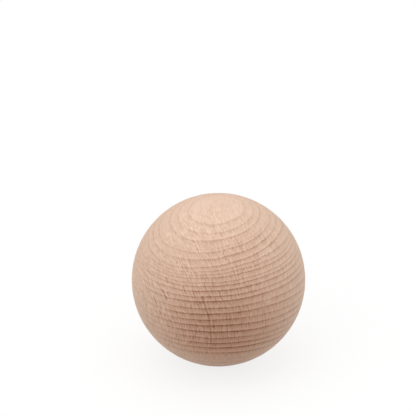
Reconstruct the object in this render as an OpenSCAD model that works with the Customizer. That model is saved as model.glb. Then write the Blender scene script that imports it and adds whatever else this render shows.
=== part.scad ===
// Wooden ball: one solid piece, turned and sanded round from a block of beech.
// The origin is the centre of the ball. +Z is up.

/* [Ball] */
// Diameter of the finished ball
ball_d = 60; // [10:1:120]

/* [Hidden] */

// Segments round the ball
round_segments = 180;

// The turner's template: half of the ball's outline, from pole to pole beside the turning axis.
module half_outline() {
    intersection() {
        circle(d = ball_d, $fn = round_segments);
        translate([0, -ball_d / 2])
            square([ball_d / 2, ball_d]);
    }
}

// The ball: its half outline, swept once round the turning axis.
module ball() {
    color("burlywood")
        rotate_extrude($fn = round_segments)
            half_outline();
}

ball();
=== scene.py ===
# %% [markdown]
# # A turned beech ball
#
# The real thing is one piece of plain beech, 60 mm across. A square blank is sawn from a dry
# plank, its corners are cut off, and it is turned or milled round and sanded fine. Nothing is
# put on it: no oil, wax or lacquer. So its whole look is the wood itself: growth rings that the
# ball cuts into ovals and curves, thousands of small rays, and a warmer, darker end grain.
#
# A ball has no corners and no parts, so all the care goes into two things here. One is an even,
# dense mesh with the faint ridges that sanding leaves. The other is a solid wood material, which
# is worked out in the depth of the wood and not wrapped round the ball like paper.

# %% Load the frame
import math

import bmesh
import bpy
from mathutils import Matrix, Vector


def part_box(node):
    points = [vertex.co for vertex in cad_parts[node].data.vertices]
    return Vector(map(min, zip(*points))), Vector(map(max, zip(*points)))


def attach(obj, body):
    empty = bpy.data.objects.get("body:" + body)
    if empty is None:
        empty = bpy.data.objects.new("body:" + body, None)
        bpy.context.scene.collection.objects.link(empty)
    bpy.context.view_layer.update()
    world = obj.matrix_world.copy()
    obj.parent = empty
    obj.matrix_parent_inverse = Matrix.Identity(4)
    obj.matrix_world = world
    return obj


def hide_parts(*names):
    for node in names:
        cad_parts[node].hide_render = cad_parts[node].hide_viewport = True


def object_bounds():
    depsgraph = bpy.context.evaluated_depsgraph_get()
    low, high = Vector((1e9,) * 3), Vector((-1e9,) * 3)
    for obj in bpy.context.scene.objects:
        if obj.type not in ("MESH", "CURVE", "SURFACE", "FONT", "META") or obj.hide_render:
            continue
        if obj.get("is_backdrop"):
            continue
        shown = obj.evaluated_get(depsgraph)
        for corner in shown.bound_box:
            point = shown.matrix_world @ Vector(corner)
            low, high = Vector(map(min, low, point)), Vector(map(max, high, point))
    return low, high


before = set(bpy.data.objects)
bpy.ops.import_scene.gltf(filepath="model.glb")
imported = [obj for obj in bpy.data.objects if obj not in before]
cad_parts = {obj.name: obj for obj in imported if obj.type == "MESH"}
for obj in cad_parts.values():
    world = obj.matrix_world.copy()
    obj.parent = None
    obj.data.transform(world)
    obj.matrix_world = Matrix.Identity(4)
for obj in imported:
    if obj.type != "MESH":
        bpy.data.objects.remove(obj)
cad_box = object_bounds()
print("nodes in the frame:", sorted(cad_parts))

# %% [markdown]
# ## Units and the size of the ball
#
# Blender works in metres, and wood is easier to think about in millimetres. So the sizes below
# are millimetres, and MM turns them into metres. The radius isn't typed in: it is read from the
# ball's own box, so the looks always fit the part.

# %% Units and radius
MM = 0.001
ball_low, ball_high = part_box("ball")
radius_mm = min(ball_high - ball_low) / 2 / MM
centre = (ball_low + ball_high) / 2
print(f"ball: radius {radius_mm:.3f} mm, centre {tuple(round(c / MM, 3) for c in centre)} mm")

# %% [markdown]
# ## How the blank lies in the trunk
#
# Wood has three directions. One runs along the trunk, one runs from the pith to the bark, and
# the third goes round the trunk. A ball can be cut with these lying any way. In this one the
# bark side is nearly on top and the trunk runs almost level, from front to back, turned a little
# to the side. One rotation holds all three directions.
#
# The fibres don't follow the trunk exactly. In most trees they wind round it at a slight angle,
# which is called spiral grain. So the fibre direction is the trunk direction turned a little
# about the line to the bark.

# %% Directions of the wood
TRUNK_TURN = math.radians(17.1)
BARK_LEAN = math.radians(-7.8)
SPIRAL_GRAIN = math.radians(-8)
trunk_frame = Matrix.Rotation(TRUNK_TURN, 3, "Z") @ Matrix.Rotation(BARK_LEAN, 3, "Y")
ROUND_TRUNK, ALONG_TRUNK, TO_BARK = [column.copy() for column in trunk_frame.col]
fibre_frame = Matrix.Rotation(SPIRAL_GRAIN, 3, TO_BARK) @ trunk_frame
ACROSS_FIBRE, ALONG_FIBRE = fibre_frame.col[0].copy(), fibre_frame.col[1].copy()
for name, axis in (("trunk", ALONG_TRUNK), ("fibre", ALONG_FIBRE), ("bark", TO_BARK)):
    print(f"{name}: {axis.x:6.3f} {axis.y:6.3f} {axis.z:6.3f}")

# %% [markdown]
# ## The growth rings
#
# A tree adds one ring a year. Each ring starts pale and open in spring and ends in a thin dark
# line in autumn. Good years are wide and poor years are narrow, so no formula gives them. The ring
# lines are a list, from the bark side down. It says how high each line lies above the middle of
# the ball in millimetres, how dark it is, and how light that year's wood is.
#
# The rings aren't flat. They bow round the pith, which lies well below the ball, and they lean to
# one side. The lean isn't the same all the way up, so it is a short list too, and it eases off
# towards the flanks. Along the trunk the rings slope a little, because a trunk tapers, they twist,
# and they stretch, so that the years are slightly wider at one end of the ball than at the other.

# %% Ring lines, bow and lean
TOP_OF_RINGS = 31.0
BOTTOM_OF_RINGS = -31.0
RING_LINES = [  # height in mm, darkness of the line, tone of the wood
    (28.7, 0.30, 0.9), (27.4, 0.30, 0.6), (26.1, 0.45, 0.5), (24.4, 0.10, 0.4), (23.8, 0.50, 0.3),
    (22.1, 0.55, 0.3), (20.2, 0.65, 0.3), (18.9, 0.60, 0.3), (17.8, 0.60, 0.3), (16.7, 0.80, 0.3),
    (15.0, 0.65, 0.3), (13.9, 1.05, 0.4), (12.3, 1.10, 0.4), (10.3, 0.90, 0.5), (8.6, 1.20, 0.6),
    (5.9, 0.80, 0.5), (3.7, 1.05, 0.5), (1.1, 0.70, 0.5), (-1.5, 1.00, 0.4), (-4.5, 1.10, 0.4),
    (-7.4, 0.60, 0.3), (-9.9, 0.75, 0.3), (-12.2, 0.90, 0.2), (-15.2, 0.50, 0.4), (-18.7, 0.10, 1.0),
    (-21.8, 0.20, 1.0), (-24.9, 0.30, 0.7), (-27.6, 0.40, 0.6),
]
LEAN = [  # share of the radius above the middle, lean as rise over run
    (-1.0, 0.31), (-0.6, 0.27), (-0.33, 0.245), (-0.1, 0.255), (0.13, 0.18), (0.5, 0.14),
    (0.62, 0.06), (0.8, 0.07), (1.0, 0.10),
]
LEAN_EASE = -4.2e-5  # change of the lean, for each square mm sideways
PITH_DEPTH = 212.0  # mm below the middle of the ball
BOW = 1 / (2 * PITH_DEPTH)
SLOPE = -0.011  # rise over run along the trunk
TWIST = 0.0024  # change of the lean, for each mm along the trunk
STRETCH = -0.0019  # share by which ring heights stretch, for each mm along the trunk

ring_count = len(RING_LINES) + 1
print(f"{len(RING_LINES)} ring lines, and the pith is {PITH_DEPTH / radius_mm:.0f} radii below")


# %% Where a point of the ball lies in the rings
def between(stops, x):
    """The value at x on the straight lines between (x, value) stops."""
    if x <= stops[0][0]:
        return stops[0][1]
    for (x0, y0), (x1, y1) in zip(stops, stops[1:]):
        if x <= x1:
            return y0 + (y1 - y0) * (x - x0) / (x1 - x0)
    return stops[-1][1]


def ring_height(point):
    """How high a point lies once its ring is straightened out, in mm."""
    around, along, rise = point.dot(ROUND_TRUNK), point.dot(ALONG_TRUNK), point.dot(TO_BARK)
    bend = BOW * around * around + TWIST * around * along + STRETCH * rise * along
    lean = between(LEAN, rise / radius_mm) + LEAN_EASE * around * around
    return rise + lean * around + bend + SLOPE * along


years = [(BOTTOM_OF_RINGS, 0)]
years += [(line[0], count + 1) for count, line in enumerate(reversed(RING_LINES))]
years += [(TOP_OF_RINGS, ring_count)]
print("rings counted up to the middle of the ball:", round(between(years, 0.0), 2))

# %% [markdown]
# ## The ball's mesh
#
# A ball could be spun like a turned piece or grown from an icosphere. Here it starts as the
# maker's blank does, as a cube. Its faces are cut into a fine grid, and every point is pushed out
# onto the ball. The cube reaches from -1 to 1, and half a face spans 45 degrees of the ball, so a
# tangent turns equal steps of angle into places on the cube. That keeps the squares even. There
# are no pinched poles, so fine relief looks the same everywhere.
#
# Sanding wears the soft spring wood a few hundredths of a millimetre deeper than the hard line
# at the end of each year. That wear is real geometry: each point sinks by a rounded ripple that
# follows the rings, and a narrow year wears less than a wide one. It only ever goes inwards, so
# the ball never outgrows its CAD solid.

# %% Grow the ball from a cube
GRID = 128  # squares along each edge of the cube
SPRING_WEAR = 0.035  # mm, in the softest wood
DEEPEST_WEAR = 0.3  # share of the year at which the wood is softest
WIDE_YEAR = 2.6  # mm, the width from which a year wears fully


def wear(point):
    """How deep sanding has worn the wood at a point, in mm."""
    count = between(years, ring_height(point))
    year = int(min(count, ring_count - 1))
    width = years[year + 1][0] - years[year][0]
    ripple = 0.5 + 0.5 * math.cos(2 * math.pi * (count % 1.0 - DEEPEST_WEAR))
    return SPRING_WEAR * ripple * min(1.0, width / WIDE_YEAR) ** 2


def make_ball(name):
    """A round ball grown from a gridded cube, sanded, as a mesh object at the origin."""
    bm = bmesh.new()
    bmesh.ops.create_cube(bm, size=2.0)
    bmesh.ops.subdivide_edges(bm, edges=bm.edges, cuts=GRID - 1, use_grid_fill=True)
    for v in bm.verts:
        out = Vector([math.tan(c * math.pi / 4) for c in v.co]).normalized()
        v.co = centre + out * (radius_mm - wear(out * radius_mm)) * MM
    bmesh.ops.recalc_face_normals(bm, faces=bm.faces)
    for face in bm.faces:
        face.smooth = True
    mesh = bpy.data.meshes.new(name)
    bm.to_mesh(mesh)
    bm.free()
    piece = bpy.data.objects.new(name, mesh)
    bpy.context.scene.collection.objects.link(piece)
    return piece


ball = make_ball("turned_ball")
print(f"{ball.name}: {len(ball.data.vertices)} points, {2 * len(ball.data.polygons)} triangles")

# %% [markdown]
# ## Helpers for nodes and colours
#
# A material is a tree of nodes. This function adds one node: its options go in by name, and what
# feeds its sockets goes in as a list or by name. A number or colour is set on the socket, and a
# node or one of its outputs is linked to it. Colours are written as they would be picked on a
# screen, and one function turns them into the linear values that a renderer works with, by the
# sRGB standard. A colour ramp can also hold plain numbers, which are then greys.


# %% Node and colour helpers
def add(tree, kind, feeds=(), stops=(), **options):
    """Adds one shader node with its options, ramp stops and what feeds it, and returns it."""
    node = tree.nodes.new("ShaderNode" + kind)
    for option, value in options.items():
        setattr(node, option, value)
    for number, (position, value) in enumerate(stops):
        if number >= len(node.color_ramp.elements):
            node.color_ramp.elements.new(1.0)
        node.color_ramp.elements[number].position = position
        node.color_ramp.elements[number].color = value
    sockets = [s for s in node.inputs if s.enabled]
    named = {s.name: s for s in reversed(sockets)}
    for key, value in feeds.items() if isinstance(feeds, dict) else enumerate(feeds):
        socket = named[key] if isinstance(key, str) else sockets[key]
        if isinstance(value, bpy.types.Node):
            value = next(s for s in value.outputs if s.enabled)
        if isinstance(value, bpy.types.NodeSocket):
            tree.links.new(value, socket)
        else:
            socket.default_value = value
    return node


def colour(hex_text):
    """An sRGB hex colour as linear red, green, blue and alpha."""
    shares = [int(hex_text[i:i + 2], 16) / 255 for i in (1, 3, 5)]
    linear = [s / 12.92 if s <= 0.04045 else ((s + 0.055) / 1.055) ** 2.4 for s in shares]
    return (*linear, 1.0)


def grey(value):
    """A plain number as a grey."""
    return (value, value, value, 1.0)


def greys(stops):
    """The (position, number) stops of a ramp, with the numbers as greys."""
    return [(position, grey(value)) for position, value in stops]


print("helpers: add, colour, grey and greys")

# %% [markdown]
# ## Beech, turned and sanded
#
# Beech is a pale, even, pinkish-brown wood. To the eye it has fine dark ring lines, thousands of
# short rays, and end grain that is darker and warmer than the side grain. Sanding leaves it dull
# and silky. A picture of wood could be wrapped round the ball, but it would stretch and show a
# seam. So the colour is worked out from where each point lies inside the trunk, as if the ball
# were cut from solid wood. It is built up as the tree does it: place, rays, years, then colour.

# %% Start the material
beech = bpy.data.materials.new("beech_turned_and_sanded")
beech.use_nodes = True
wood = beech.node_tree
wood.nodes.clear()
print("material:", beech.name)

# %% [markdown]
# ### Where a point lies in the trunk
#
# Object coordinates are the ball's own, so the wood moves with it. They are turned into
# millimetres and then measured along five lines: round the trunk, along it, towards the bark, and
# across and along the fibre. A dot product does each in one node.

# %% Place in the trunk, in millimetres
coordinates = add(wood, "TexCoord")
place = add(wood, "VectorMath", {"Vector": coordinates.outputs["Object"], "Scale": 1 / MM},
            operation="SCALE")
around, along, rise, across, with_fibre = [
    add(wood, "VectorMath", [place, axis], operation="DOT_PRODUCT")
    for axis in (ROUND_TRUNK, ALONG_TRUNK, TO_BARK, ACROSS_FIBRE, ALONG_FIBRE)
]
print(f"place: {len(wood.nodes)} nodes, 1 mm is {1 / radius_mm:.3f} of the radius")

# %% [markdown]
# Some things about wood depend on which way its cut face looks. A sanded ball faces every way, so
# one function says how squarely a place on it faces along a line.


# %% How squarely the ball's face looks one way
def facing(direction, power):
    """1 where the face looks along a direction, either way, and less beside it, by the power."""
    straight = Vector(direction).normalized() / radius_mm
    share = add(wood, "VectorMath", [place, straight], operation="DOT_PRODUCT")
    share = add(wood, "Math", [share], operation="ABSOLUTE")
    return add(wood, "Math", [share, power], operation="POWER")


# %% [markdown]
# ### The lie of the rays
#
# Rays are thin sheets of cells that run from the pith to the bark. Cut across, they are the fine
# upright lines on end grain; cut along, they are the flecks that beech is known for. They all
# start at the pith, so they fan out as they rise, and in this blank they curve a little sideways
# too. So a point's place among them is how far across it lies, less the share that the fan has
# opened by there, plus a small share of its rise squared.

# %% Place among the rays
RAY_BOW = 0.0067  # mm sideways, for each square mm of rise
rise_squared = add(wood, "Math", [rise, rise], operation="MULTIPLY")
fan = add(wood, "Math", [rise, -1 / PITH_DEPTH, 1.0], operation="MULTIPLY_ADD")
fanned = add(wood, "Math", [across, fan], operation="MULTIPLY")
ray_place = add(wood, "Math", [rise_squared, RAY_BOW, fanned], operation="MULTIPLY_ADD")
in_wood = add(wood, "CombineXYZ", [ray_place, with_fibre, rise])
print(f"rays bend sideways by {RAY_BOW * radius_mm ** 2:.1f} mm from the middle to the bark side")

# %% [markdown]
# ### Noise with real sizes
#
# Wood cells are long and thin, so its fine pattern is noise that is stretched along the fibre. Each
# noise gets its real size in millimetres, across the fibre, along it and towards the bark. The
# finest rays are about 0.05 mm thick. A third of a millimetre is the least that shows when
# the ball is seen whole, so those are drawn that coarse.
#
# A noise strays by its spread from a middle grey, and is stretched so that it runs from about -1
# to 1. Where pale bits should stand out and dark ones shouldn't, its dark end is cut short.

# %% One noise in the wood
NOISE_MIDDLE = 0.5
NOISE_ROUGHNESS = 0.6


def grain_noise(size, detail=0.0, spread=0.2, darkest=-1.0, palest=1.0):
    """Noise of a real size in mm (across the fibre, along it, towards the bark)."""
    stretched = add(wood, "VectorMath", [in_wood, Vector(size)], operation="DIVIDE")
    noise = add(wood, "TexNoise", {"Vector": stretched, "Scale": 1.0, "Detail": detail,
                                   "Roughness": NOISE_ROUGHNESS})
    return add(wood, "MapRange", {
        "Value": noise, "From Min": NOISE_MIDDLE + darkest * spread,
        "From Max": NOISE_MIDDLE + palest * spread, "To Min": darkest, "To Max": palest})


# %% Flecks, streaks, specks and patches
FLECK_SIZE = (0.43, 2.6, 2.4)
STREAK_SIZE = (0.40, 4.0, 8.0)
SPECK_SIZE = (0.34, 2.6, 0.40)
PATCH_SIZE = (5.0, 14.0, 5.0)
fleck = grain_noise(FLECK_SIZE, detail=1.0, spread=0.15, darkest=-1.2, palest=1.1)
streak = grain_noise(STREAK_SIZE, detail=1.0)
speck = grain_noise(SPECK_SIZE, spread=0.16, darkest=-0.8, palest=1.3)
patch = grain_noise(PATCH_SIZE)
print(f"flecks {FLECK_SIZE} mm, streaks {STREAK_SIZE} mm, specks {SPECK_SIZE} mm")

# %% [markdown]
# ### Where the grain shows
#
# Fine grain doesn't show equally all over. It is strongest on the front towards the left, with two
# smaller strong areas up on the right and up on the left, and it is smooth at the top. Soft spots
# hold that, each with a direction, how tight it is and what it adds, and the patch noise makes the
# grain come and go.

# %% How strong the grain is here
GRAIN_LEAST = 0.33
GRAIN_SPOTS = [  # direction, tightness, gain
    ((-0.22, -0.97, 0.10), 1.0, 0.65),
    ((0.52, -0.46, 0.72), 12.0, 0.21),
    ((-0.62, -0.40, 0.68), 8.0, 0.12),
]
PATCHINESS = 0.30
grain_amount = GRAIN_LEAST
for direction, tightness, gain in GRAIN_SPOTS:
    spot = facing(direction, tightness)
    grain_amount = add(wood, "Math", [spot, gain, grain_amount], operation="MULTIPLY_ADD")
patch_gain = add(wood, "Math", [patch, PATCHINESS, 1.0], operation="MULTIPLY_ADD")
grain_here = add(wood, "Math", [patch_gain, grain_amount], operation="MULTIPLY")
print(f"grain from {GRAIN_LEAST} up, with {len(GRAIN_SPOTS)} stronger spots")

# %% [markdown]
# ### Single rays
#
# Some rays are large enough to be seen one by one: a thin dark slit with a pale edge on each side,
# a few millimetres long. A Voronoi texture scatters points through the wood, one to a cell. The
# offset from the nearest point, in millimetres, says where in its ray a place lies. A ramp across
# the offset draws pale, dark, pale, and two fades end the ray along the fibre and up and down. The
# cell's random colour makes few rays strong and most of them faint.

# %% Scatter single rays
RAY_CELL = Vector((1.3, 4.6, 3.4))
ray_space = add(wood, "VectorMath", [in_wood, RAY_CELL], operation="DIVIDE")
ray_seeds = add(wood, "TexVoronoi", {"Vector": ray_space, "Scale": 1.0, "Randomness": 1.0})
ray_offset = add(wood, "VectorMath", [ray_space, ray_seeds.outputs["Position"]],
                 operation="SUBTRACT")
ray_real = add(wood, "VectorMath", [ray_offset, RAY_CELL], operation="MULTIPLY")
ray_side = add(wood, "SeparateXYZ", [ray_real])
ray_away = add(wood, "VectorMath", [ray_real], operation="ABSOLUTE")
ray_reach = add(wood, "SeparateXYZ", [ray_away])
print(f"one ray to every {tuple(round(c, 1) for c in RAY_CELL)} mm of wood")

# %% Shape each single ray
RAY_HALF = 0.7  # half the width that the profile covers, in mm
RAY_PROFILE = [  # place across that width, tone, where 0.5 is plain wood
    (0.28, 0.5), (0.38, 0.72), (0.46, 0.0), (0.54, 0.0), (0.64, 0.78), (0.76, 0.5),
]
ENDS_FADE = (0.8, 2.0)  # mm from the middle, along the fibre
TIPS_FADE = (0.5, 1.5)  # mm from the middle, up and down
RAY_RARITY = 2.0  # the higher, the fewer strong rays
ray_width = add(wood, "MapRange", {"Value": ray_side.outputs["X"], "From Min": -RAY_HALF,
                                   "From Max": RAY_HALF})
ray_tone = add(wood, "ValToRGB", [ray_width], greys(RAY_PROFILE))
ray_signed = add(wood, "MapRange", {"Value": ray_tone, "To Min": -1.0, "To Max": 1.0})
ray_ends, ray_tips = [
    add(wood, "MapRange", {"Value": ray_reach.outputs[axis], "From Min": start, "From Max": end,
                           "To Min": 1.0, "To Max": 0.0})
    for axis, (start, end) in (("Y", ENDS_FADE), ("Z", TIPS_FADE))
]
ray_sheet = add(wood, "Math", [ray_signed, ray_ends], operation="MULTIPLY")
ray_whole = add(wood, "Math", [ray_sheet, ray_tips], operation="MULTIPLY")
ray_luck = add(wood, "SeparateColor", [ray_seeds.outputs["Color"]])
ray_strength = add(wood, "Math", [ray_luck.outputs["Red"], RAY_RARITY], operation="POWER")
ray = add(wood, "Math", [ray_whole, ray_strength], operation="MULTIPLY")
print(f"rays: {len(wood.nodes)} nodes so far")

# %% [markdown]
# ### Straighten the rings
#
# This is the same rule as ring_height() above, now as nodes: the lean from a ramp, and the bow,
# twist and stretch from one dot product of three products. After it, every ring is flat, and its
# height alone says which year a point grew in.

# %% Ring height as nodes
lean_share = add(wood, "MapRange", {"Value": rise, "From Min": -radius_mm, "From Max": radius_mm})
lean_stops = [((share + 1) / 2, value) for share, value in LEAN]
lean = add(wood, "ValToRGB", [lean_share], greys(lean_stops))
first_factors = add(wood, "CombineXYZ", [around, around, rise])
second_factors = add(wood, "CombineXYZ", [around, along, along])
products = add(wood, "VectorMath", [first_factors, second_factors], operation="MULTIPLY")
around_squared = add(wood, "SeparateXYZ", [products])
eased = add(wood, "Math", [around_squared.outputs["X"], LEAN_EASE, lean],
            operation="MULTIPLY_ADD")
leaned = add(wood, "Math", [eased, around, rise], operation="MULTIPLY_ADD")
sloped = add(wood, "Math", [along, SLOPE, leaned], operation="MULTIPLY_ADD")
bend = add(wood, "VectorMath", [products, (BOW, TWIST, STRETCH)], operation="DOT_PRODUCT")
height = add(wood, "Math", [sloped, bend], operation="ADD")
print(f"the rings bow by {BOW * radius_mm ** 2:.1f} mm from the middle to the flank")

# %% [markdown]
# A ring is never ruler straight. It waves slowly, and it jumps by a tenth of a millimetre where a
# ray crosses it, most of all where the grain is strong.

# %% Small waves and jumps in the rings
WAVE_SIZE = (7.0, 12.0, 12.0)
WAVE_HEIGHT = 0.08
JUMP_SIZE = (0.8, 3.0, 2.0)
JUMP_HEIGHT = 0.10
wave = grain_noise(WAVE_SIZE)
jump = grain_noise(JUMP_SIZE, detail=1.0)
jump_here = add(wood, "Math", [jump, grain_amount], operation="MULTIPLY")
waved = add(wood, "Math", [wave, WAVE_HEIGHT, height], operation="MULTIPLY_ADD")
true_height = add(wood, "Math", [jump_here, JUMP_HEIGHT, waved], operation="MULTIPLY_ADD")
print(f"rings wave by {WAVE_HEIGHT} mm and jump by up to {JUMP_HEIGHT} mm")

# %% [markdown]
# ### The calendar
#
# The list of ring lines becomes a colour ramp that is read by height. Red counts the years, so its
# fraction says how far through its year a point is. Green holds how dark that year's line is, and
# blue how light its wood is. One ramp so carries three facts about every year.

# %% Which year, and how far through it
LOWEST_YEAR = (0.5, 0.6)  # darkness and tone at the bottom of the rings
HIGHEST_YEAR = (0.4, 0.9)  # the same at their top
year_share = add(wood, "MapRange", {"Value": true_height, "From Min": BOTTOM_OF_RINGS,
                                    "From Max": TOP_OF_RINGS})
span = TOP_OF_RINGS - BOTTOM_OF_RINGS
year_stops = [(0.0, (0.0, *LOWEST_YEAR, 1.0))]
year_stops += [((line - BOTTOM_OF_RINGS) / span, ((count + 1) / ring_count, darkness, tone, 1.0))
               for count, (line, darkness, tone) in enumerate(reversed(RING_LINES))]
year_stops += [(1.0, (1.0, *HIGHEST_YEAR, 1.0))]
calendar = add(wood, "ValToRGB", [year_share], year_stops)
year_facts = add(wood, "SeparateColor", [calendar])
year_count = add(wood, "Math", [year_facts.outputs["Red"], ring_count], operation="MULTIPLY")
year_phase = add(wood, "Math", [year_count], operation="FRACT")
line_darkness = year_facts.outputs["Green"]
year_tone = year_facts.outputs["Blue"]
print(f"calendar: {len(year_stops)} stops over {span:.0f} mm")

# %% [markdown]
# A year starts at phase 0 with open, pale spring wood, just above the last dark line. It darkens
# slowly and then quickly, up to the hard line that ends it at phase 1. Three curves hold this: the
# line itself, the pale spring wood, and the slow darkening of the body.

# %% Tone through one year
LINE_IN_YEAR = [  # phase, darkness of the line
    (0.0, 0.80), (0.035, 0.20), (0.07, 0.0), (0.50, 0.03), (0.70, 0.14), (0.82, 0.45),
    (0.91, 0.92), (1.0, 1.0),
]
SPRING_IN_YEAR = [  # phase, paleness of the spring wood
    (0.0, 0.0), (0.06, 0.3), (0.13, 1.0), (0.30, 0.6), (0.6, 0.15), (0.9, 0.0),
]
BODY_IN_YEAR = (0.15, 0.9)  # phases between which the body darkens
year_line = add(wood, "ValToRGB", [year_phase], greys(LINE_IN_YEAR))
year_spring = add(wood, "ValToRGB", [year_phase], greys(SPRING_IN_YEAR))
year_body = add(wood, "MapRange", {"Value": year_phase, "From Min": BODY_IN_YEAR[0],
                                   "From Max": BODY_IN_YEAR[1]})
mean_year = (RING_LINES[0][0] - RING_LINES[-1][0]) / (len(RING_LINES) - 1)
print(f"mean width of a year: {mean_year:.2f} mm")

# %% [markdown]
# ### The broadest rays
#
# Some rays on the front stand out from the rest, by their length or by how dark they are. They are
# placed one by one: where each lies across the wood, how low and how high it reaches, how dark it
# is, and how it leans. Each is a short straight piece in the sheet of the rays, so what the
# material needs is the distance to the nearest piece. A faint ray counts as a little further off.
# Close by it is dark, and a little further out it has the pale edge of the smaller rays. The
# specks break its dark core a little, so that it doesn't look drawn with a ruler.

# %% Mark the broadest rays
BROAD_RAYS = [  # place across, lowest and highest rise in mm, darkness, lean
    (-23.1, 5.4, 7.8, 0.70, 0.05), (-22.8, -1.2, 3.5, 0.70, 0.0), (-21.9, 9.0, 11.6, 0.55, -0.05),
    (-20.2, -2.8, -0.6, 0.75, 0.05), (-19.3, 8.4, 10.9, 0.95, 0.0), (-18.1, 8.6, 10.6, 0.50, -0.10),
    (-17.7, 2.5, 5.2, 0.55, -0.10), (-17.1, -8.0, 3.0, 0.50, 0.0), (-16.5, 13.8, 14.8, 0.90, 0.10),
    (-14.0, 4.4, 7.6, 0.50, 0.05), (-12.4, 11.1, 13.4, 0.75, 0.05), (-12.3, 6.3, 7.1, 0.85, 0.10),
    (-11.0, 17.6, 20.6, 0.45, 0.20), (-10.1, -4.2, -0.4, 0.75, 0.10), (-9.9, 9.6, 12.6, 0.70, 0.05),
    (-9.7, 18.6, 21.4, 0.40, 0.15), (-9.6, 6.8, 9.2, 0.75, 0.0), (-8.7, 17.9, 19.6, 0.75, 0.10),
    (-7.9, -8.0, 1.7, 0.90, 0.05), (-7.6, 1.7, 10.2, 1.0, 0.0), (-5.4, 12.5, 14.7, 0.80, 0.05),
    (-3.7, 7.3, 9.6, 0.75, 0.05), (-2.6, 23.2, 25.4, 0.55, 0.05), (-2.6, 13.8, 15.2, 0.85, 0.0),
    (-2.2, -5.8, -1.0, 0.70, 0.0), (-1.8, 9.0, 11.8, 0.85, 0.0), (-1.7, 0.8, 4.2, 0.75, 0.05),
    (1.3, 12.4, 14.0, 0.60, 0.0), (1.6, 6.0, 9.6, 0.70, 0.0), (3.3, -1.7, 4.2, 0.65, 0.05),
    (3.5, 14.2, 16.2, 0.40, 0.10), (4.0, 8.8, 11.3, 0.60, 0.0), (4.3, 20.3, 22.2, 0.70, 0.10),
    (4.5, -3.8, -2.4, 0.85, -0.05), (5.0, 15.4, 17.9, 0.60, 0.05), (7.0, 11.4, 14.4, 0.35, 0.0),
    (11.6, 20.8, 21.6, 0.55, 0.05),
]
BROAD_WOBBLE = 0.06  # mm
wobbled = add(wood, "Math", [patch, BROAD_WOBBLE, ray_place], operation="MULTIPLY_ADD")
ray_sheet_place = add(wood, "CombineXYZ", [wobbled, rise])
print(f"{len(BROAD_RAYS)} broad rays, the longest {max(r[2] - r[1] for r in BROAD_RAYS):.1f} mm")

# %% Distance to the nearest broad ray
BROAD_CORE = 0.40  # mm from the middle of a ray to where its dark core ends
FARTHEST = 1.0  # mm, beyond which nothing shows
nearest = FARTHEST
for place_across, low, high, dark, lean_over in BROAD_RAYS:
    half_length = (high - low) / 2
    run = Vector((lean_over, 1.0, 0.0)).normalized()
    middle = Vector((place_across, (low + high) / 2, 0.0))
    offset = add(wood, "VectorMath", [ray_sheet_place, middle], operation="SUBTRACT")
    reach = add(wood, "VectorMath", [offset, run], operation="DOT_PRODUCT")
    held = add(wood, "Clamp", [reach, -half_length, half_length])
    foot = add(wood, "VectorMath", {"Vector": run, "Scale": held}, operation="SCALE")
    away = add(wood, "VectorMath", [offset, foot], operation="DISTANCE")
    faded = add(wood, "Math", [away, (1 - dark) * BROAD_CORE], operation="ADD")
    nearest = add(wood, "Math", [faded, nearest], operation="MINIMUM")
print(f"broad rays: {len(wood.nodes)} nodes so far")

# %% [markdown]
# One ramp is read by that distance. Its red is the dark core and its green is the pale edge.

# %% Dark core and pale edge of the broad rays
BROAD_BREAK = 0.06  # mm by which the specks shift the core's edge
BROAD_DARKEST = 0.05  # mm from the ray to where it starts to fade
BROAD_EDGE = [(0.50, 1.0), (0.68, 0.8), (0.95, 0.0)]  # mm from the ray, paleness
front = add(wood, "Math", [along, 0.0], operation="LESS_THAN")
broken = add(wood, "Math", [speck, BROAD_BREAK, nearest], operation="MULTIPLY_ADD")
broad_stops = [(BROAD_DARKEST, (1.0, 0.0, 0.0, 1.0)), (BROAD_CORE, (0.0, 0.0, 0.0, 1.0))]
broad_stops += [(off, (0.0, paleness, 0.0, 1.0)) for off, paleness in BROAD_EDGE]
broad_look = add(wood, "ValToRGB", [broken], broad_stops)
broad_front = add(wood, "Mix", {"Factor": front, "A": grey(0.0), "B": broad_look},
                  data_type="RGBA")
broad = add(wood, "SeparateColor", [broad_front])
print("broad rays are on the half of the ball in front of the trunk's middle")

# %% [markdown]
# ### Where the lines and the end grain show
#
# Rings show best where the ball's face cuts across the fibre, because open end grain drinks in
# light and dust. So the lines are strongest on the front, and faint on the flanks and on top.
# Five soft spots hold that. Each has a direction, how tight it is, how much it strengthens the
# lines, and how much painted shade it lays on the wood, which is painted light where it is above 0.
# The first three paint shade on the front, from low to high. The fourth paints a little shade on
# the left flank and weakens the lines there, and the last paints light up on the right.

# %% Strength of the lines, and painted shade
LINE_LEAST = 0.46
# The last number of each spot is painted shade below 0 and painted light above 0.
LINE_SPOTS = [  # direction, tightness, gain of the lines, lightening
    ((0.24, -0.78, -0.57), 18.0, 1.14, -0.092),
    ((-0.05, -0.99, -0.10), 9.8, 0.64, -0.140),
    ((0.22, -0.60, 0.76), 9.5, 0.58, -0.086),
    ((-0.94, -0.28, -0.10), 6.5, -0.44, -0.046),
    ((0.45, -0.71, 0.55), 4.0, 0.0, 0.054),
]
contrast, painted_shade = LINE_LEAST, 0.0
for direction, tightness, gain, painted_light in LINE_SPOTS:
    spot = facing(direction, tightness)
    contrast = add(wood, "Math", [spot, gain, contrast], operation="MULTIPLY_ADD")
    painted_shade = add(wood, "Math", [spot, painted_light, painted_shade], operation="MULTIPLY_ADD")
print(f"lines from {LINE_LEAST} on the flanks, and {len(LINE_SPOTS)} soft spots")

# %% [markdown]
# End grain is also darker and warmer than side grain all over. So the base colour goes from one to
# the other, by how squarely the face looks along the fibre. Its centre lies a little lower than
# the fibre points.

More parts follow.
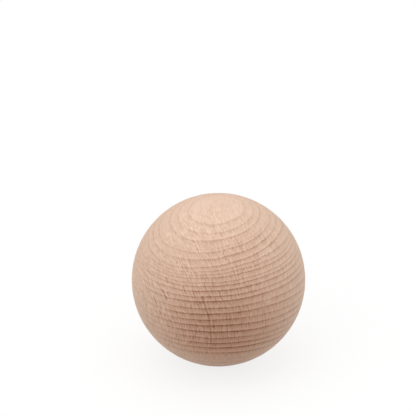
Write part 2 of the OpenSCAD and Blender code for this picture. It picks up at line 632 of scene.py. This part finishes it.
# %% Base colour, from side grain to end grain
SIDE_GRAIN = colour("#E9C6AD")
END_GRAIN = colour("#CA9C80")
END_CENTRE = (0.08, -0.98, -0.19)
END_TIGHTNESS = 2.44
end_amount = facing(END_CENTRE, END_TIGHTNESS)
base = add(wood, "Mix", {"Factor": end_amount, "A": SIDE_GRAIN, "B": END_GRAIN},
           data_type="RGBA")
for part, tint in (("side grain", SIDE_GRAIN), ("end grain", END_GRAIN)):
    print(f"{part}: red {tint[0]:.2f}, green {tint[1]:.2f}, blue {tint[2]:.2f}")

# %% [markdown]
# ### Add up the tone
#
# Everything so far is a share of lighter or darker. The year, the painted shade of the spots and
# the grain are added up into one number, and that number shades the base colour. Wood darkens
# towards red-brown and not towards grey, so blue is shaded more than red.

# %% Tone of the year, with the painted shade
YEAR_TINT = 0.06
SPRING_LIGHT = 0.17
BODY_DARK = 0.09
year_tint = add(wood, "MapRange", {"Value": year_tone, "To Min": -YEAR_TINT, "To Max": YEAR_TINT})
# The year's own tone, plus the painted shade and light of the soft spots.
year_tint_and_painted_shade = add(wood, "Math", [year_tint, painted_shade], operation="ADD")
spring = add(wood, "Math", [year_spring, SPRING_LIGHT], operation="MULTIPLY")
year_sum = add(wood, "Math", [year_body, -BODY_DARK, spring], operation="MULTIPLY_ADD")
year_amount = add(wood, "Math", [year_sum, line_darkness], operation="MULTIPLY")
year_and_painted_shade = add(wood, "Math", [year_amount, contrast, year_tint_and_painted_shade], operation="MULTIPLY_ADD")
print(f"spring wood is up to {SPRING_LIGHT:.0%} lighter")

# %% Tone of the grain
END_LAYERS = Vector((0.132, 0.086, 0.07))  # flecks, streaks, specks on end grain
SIDE_LAYERS = Vector((0.10, 0.03, 0.08))  # the same on side grain
RAY_TONE = 0.25
BROAD_LIGHT = 0.10
end_share = facing(END_CENTRE, 1.0)
layers = add(wood, "CombineXYZ", [fleck, streak, speck])
layer_amounts = add(wood, "Mix", {"Factor": end_share, "A": SIDE_LAYERS, "B": END_LAYERS},
                    data_type="VECTOR")
grain_sum = add(wood, "VectorMath", [layers, layer_amounts], operation="DOT_PRODUCT")
figure = add(wood, "Math", [ray, RAY_TONE, grain_sum], operation="MULTIPLY_ADD")
grain_year_and_painted_shade = add(wood, "Math", [figure, grain_here, year_and_painted_shade], operation="MULTIPLY_ADD")
# The sum of grain, year tone and painted shade, which also drives the bump below.
texture = add(wood, "Math", [broad.outputs["Green"], BROAD_LIGHT, grain_year_and_painted_shade],
              operation="MULTIPLY_ADD")
print(f"flecks shade by {END_LAYERS.x:.0%} on end grain and {SIDE_LAYERS.x:.0%} on side grain")

# %% Shade the base colour
SHADE = Vector((0.77, 1.04, 1.28))  # red, green, blue
UNSHADED = Vector((1, 1, 1))
shades = add(wood, "VectorMath", [texture, SHADE, UNSHADED], operation="MULTIPLY_ADD")
plain = add(wood, "VectorMath", [base, shades], operation="MULTIPLY")
print(f"blue is shaded {SHADE.z / SHADE.x:.1f} times as much as red")

# %% [markdown]
# The dark line at the end of each year goes on top, as a thin glaze of its own brown. Flecks break
# it into beads, as the rays do on real beech. The broad rays are glazed on last, darker still.

# %% Ring lines and broad rays
LINE_BROWN = colour("#C6A38B")
RAY_BROWN = colour("#D2C2BA")
BEADING = 0.30
bead = add(wood, "Math", [fleck, grain_amount], operation="MULTIPLY")
bead_gain = add(wood, "Math", [bead, -BEADING, 1.0], operation="MULTIPLY_ADD")
line_amount = add(wood, "Math", [year_line, line_darkness], operation="MULTIPLY")
line_beaded = add(wood, "Math", [line_amount, bead_gain], operation="MULTIPLY")
line_here = add(wood, "Math", [line_beaded, contrast], operation="MULTIPLY", use_clamp=True)
with_lines = add(wood, "Mix", {"Factor": line_here, "A": plain, "B": LINE_BROWN},
                 data_type="RGBA", blend_type="MULTIPLY")
wood_colour = add(wood, "Mix", {"Factor": broad.outputs["Red"], "A": with_lines, "B": RAY_BROWN},
                  data_type="RGBA", blend_type="MULTIPLY")
print(f"colour: {len(wood.nodes)} nodes so far")

# %% [markdown]
# ### The surface
#
# Bare sanded wood is dull: its roughness is about a half, and its IOR is that of most organic
# materials, 1.5. Loose fibre ends give it a faint warm sheen at the edge, like cloth. The fine
# grain is also felt as relief, a tenth of a millimetre for a full step from dark to pale. That is
# finer than the mesh, so it is a bump. The wear along the rings is in the mesh already.

# %% Gloss, sheen and fine relief
GRAIN_RELIEF = 0.10
ROUGHNESS = 0.52
WOOD_IOR = 1.5
SHEEN = 0.10
SHEEN_ROUGHNESS = 0.4
SHEEN_TINT = colour("#FFDDB8")
relief = add(wood, "Bump", {"Height": texture, "Distance": GRAIN_RELIEF * MM, "Strength": 1.0})
shader = add(wood, "BsdfPrincipled", {
    "Base Color": wood_colour, "Roughness": ROUGHNESS, "IOR": WOOD_IOR, "Normal": relief,
    "Sheen Weight": SHEEN, "Sheen Roughness": SHEEN_ROUGHNESS, "Sheen Tint": SHEEN_TINT})
add(wood, "OutputMaterial", [shader])
ball.data.materials.append(beech)
print(f"{beech.name}: {len(wood.nodes)} nodes, {len(wood.links)} links")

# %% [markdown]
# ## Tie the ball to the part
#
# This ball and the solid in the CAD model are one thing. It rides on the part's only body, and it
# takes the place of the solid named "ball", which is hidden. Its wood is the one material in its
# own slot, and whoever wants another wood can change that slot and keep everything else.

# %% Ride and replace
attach(ball, "root")
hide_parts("ball")
print(f"{ball.name} rides on root, stands for ball and fills the slot beech")

# %% [markdown]
# ## A sheet of white paper to lie on
#
# The ball lies on a level sheet that is large enough for its edge to stay out of every view. It
# is one flat square, made with the grid operator, just under the ball. It is marked as stage,
# because it isn't part of the object.

# %% Floor
FLOOR_HALF = 3.0  # metres
floor_bm = bmesh.new()
bmesh.ops.create_grid(floor_bm, x_segments=1, y_segments=1, size=FLOOR_HALF)
bmesh.ops.translate(floor_bm, verts=floor_bm.verts, vec=(0, 0, ball_low.z))
floor_mesh = bpy.data.meshes.new("floor")
floor_bm.to_mesh(floor_mesh)
floor_bm.free()
floor = bpy.data.objects.new("floor", floor_mesh)
bpy.context.scene.collection.objects.link(floor)
floor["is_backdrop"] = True
print(f"floor: {2 * FLOOR_HALF:.0f} m wide, at a height of {ball_low.z / MM:.1f} mm")

# %% [markdown]
# Studios light white paper until it is pure white. That much light would wash out the underside
# of the ball. So the paper has two looks. Light that bounces off it meets a quiet white, which
# lifts the shade under the ball as real paper does. The eye meets a paler one, straight or in a
# reflection. It is mostly glow, and the rest is matt and keeps the soft shadow of the ball.
#
# The world behind the paper works the same way, so one function serves both.


# %% What the eye meets
def met_by_the_eye(tree):
    """1 where the camera looks, straight or by way of gloss or glass, and 0 for other light."""
    path = add(tree, "LightPath")
    straight_or_gloss = add(tree, "Math", [path.outputs["Is Camera Ray"],
                                           path.outputs["Is Glossy Ray"]], operation="MAXIMUM")
    return add(tree, "Math", [straight_or_gloss, path.outputs["Is Transmission Ray"]],
               operation="MAXIMUM")


# %% White paper
PAPER_BOUNCE = 0.58
PAPER_MATT = 0.22
PAPER_GLOW = 0.80
paper = bpy.data.materials.new("white_paper")
paper.use_nodes = True
sheet = paper.node_tree
sheet.nodes.clear()
bounce = add(sheet, "BsdfDiffuse", {"Color": grey(PAPER_BOUNCE)})
matt = add(sheet, "BsdfDiffuse", {"Color": grey(PAPER_MATT)})
glow = add(sheet, "Emission", {"Color": grey(1.0), "Strength": PAPER_GLOW})
in_view = add(sheet, "AddShader", [matt, glow])
paper_look = add(sheet, "MixShader", [met_by_the_eye(sheet), bounce, in_view])
add(sheet, "OutputMaterial", [paper_look])
floor_mesh.materials.append(paper)
print(f"paper: bounces {PAPER_BOUNCE:.0%} of the light, and glows at {PAPER_GLOW:.0%} of white")

# %% [markdown]
# ## Light
#
# The light is that of a bright tent. Plain white comes from all round, and it does most of the
# work. The wood's lines stay readable right up to the edge of the ball, with no hard highlight.

# %% Light from all round
WORLD_LIGHT = 0.69
world = bpy.data.worlds.new("studio")
bpy.context.scene.world = world
world.use_nodes = True
sky = world.node_tree
sky.nodes.clear()
sky_strength = add(sky, "MapRange", {"Value": met_by_the_eye(sky), "To Min": WORLD_LIGHT,
                                     "To Max": 1.0})
background = add(sky, "Background", {"Color": grey(1.0), "Strength": sky_strength})
add(sky, "OutputWorld", [background])
print(f"world: {WORLD_LIGHT} on the ball, 1.0 to the eye")

# %% [markdown]
# Two large soft lamps give the ball its roundness. One hangs straight above, so the top is the
# palest. The other stands in front, to the left and halfway up. Each is a square as wide as a
# studio soft box, and it points at the ball.
#
# A lamp's level says how much light a white card at the ball would get from it, as a share of
# full white. Its power in watts follows from that and its distance.

# %% Two soft lamps
LAMP_SIZE = 1.2  # metres
LAMP_DISTANCE = 1.4  # metres
LAMPS = [  # name, degrees round from the front, degrees up, level
    ("lamp_above", 0, 90, 0.235),
    ("lamp_front_left", -45, 45, 0.145),
]
for lamp_name, round_degrees, up_degrees, level in LAMPS:
    turn, rise_angle = math.radians(round_degrees), math.radians(up_degrees)
    towards_lamp = Vector((math.sin(turn) * math.cos(rise_angle),
                           -math.cos(turn) * math.cos(rise_angle), math.sin(rise_angle)))
    lamp_data = bpy.data.lights.new(lamp_name, "AREA")
    lamp_data.size = LAMP_SIZE
    lamp_data.energy = level * math.pi ** 2 * LAMP_DISTANCE ** 2
    lamp = bpy.data.objects.new(lamp_name, lamp_data)
    lamp.location = centre + towards_lamp * LAMP_DISTANCE
    lamp.rotation_euler = towards_lamp.to_track_quat("Z", "Y").to_euler()
    bpy.context.scene.collection.objects.link(lamp)
    print(f"{lamp_name}: {lamp_data.energy:.2f} W")

# %% [markdown]
# ## Camera
#
# The camera looks down on the ball a little, as someone at a table would. It stands well back with
# a long lens, so the ball keeps its true outline. The ball is a bit below and to the right of
# the middle of the frame. So the camera is moved sideways and up until that is so, and it
# isn't turned, since a turn would change the angle at which the rings are seen.
#
# The frame is 416 pixels square. The ball's radius and its middle are given in pixels from the
# frame's upper left corner, and the lens follows from them.

# %% Camera
CAMERA_ELEVATION = math.radians(28)
CAMERA_DISTANCE = 6.0  # metres
FRAME_PX = 416
BALL_PX = 86.8  # radius of the ball
BALL_AT_PX = (218.5, 279.7)  # its middle, across and down
SENSOR = 36.0  # mm
back = Vector((0, -math.cos(CAMERA_ELEVATION), math.sin(CAMERA_ELEVATION)))
right = Vector((1, 0, 0))
up = Vector((0, math.sin(CAMERA_ELEVATION), math.cos(CAMERA_ELEVATION)))
metres_per_px = radius_mm * MM / BALL_PX
aside = (FRAME_PX / 2 - BALL_AT_PX[0]) * metres_per_px
above = (BALL_AT_PX[1] - FRAME_PX / 2) * metres_per_px
lens = bpy.data.cameras.new("camera")
lens.sensor_width = SENSOR
lens.lens = SENSOR * CAMERA_DISTANCE / (FRAME_PX * metres_per_px)
camera = bpy.data.objects.new("camera", lens)
camera.location = centre + right * aside + up * above + back * CAMERA_DISTANCE
camera.rotation_euler = (math.pi / 2 - CAMERA_ELEVATION, 0, 0)
bpy.context.scene.collection.objects.link(camera)
bpy.context.scene.camera = camera
print(f"camera: {lens.lens:.0f} mm lens, and the frame is {FRAME_PX * metres_per_px / MM:.0f} mm wide")

# %% [markdown]
# ## View, sizes and the end
#
# The standard view shows each colour as it is written, so pale beech stays pale beech. Last, the
# outer sizes of the CAD model and of this one are written down side by side. The sanding wear only
# goes inwards, so this ball is never larger than the solid.

# %% View
bpy.context.scene.view_settings.view_transform = "Standard"
print("view:", bpy.context.scene.view_settings.view_transform)

# %% Sizes
sizes = {"cad": [list(corner) for corner in cad_box],
         "visual": [list(corner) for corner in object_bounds()]}
for kind, (low, high) in sizes.items():
    print(f"{kind}: {[round((b - a) / MM, 3) for a, b in zip(low, high)]} mm")
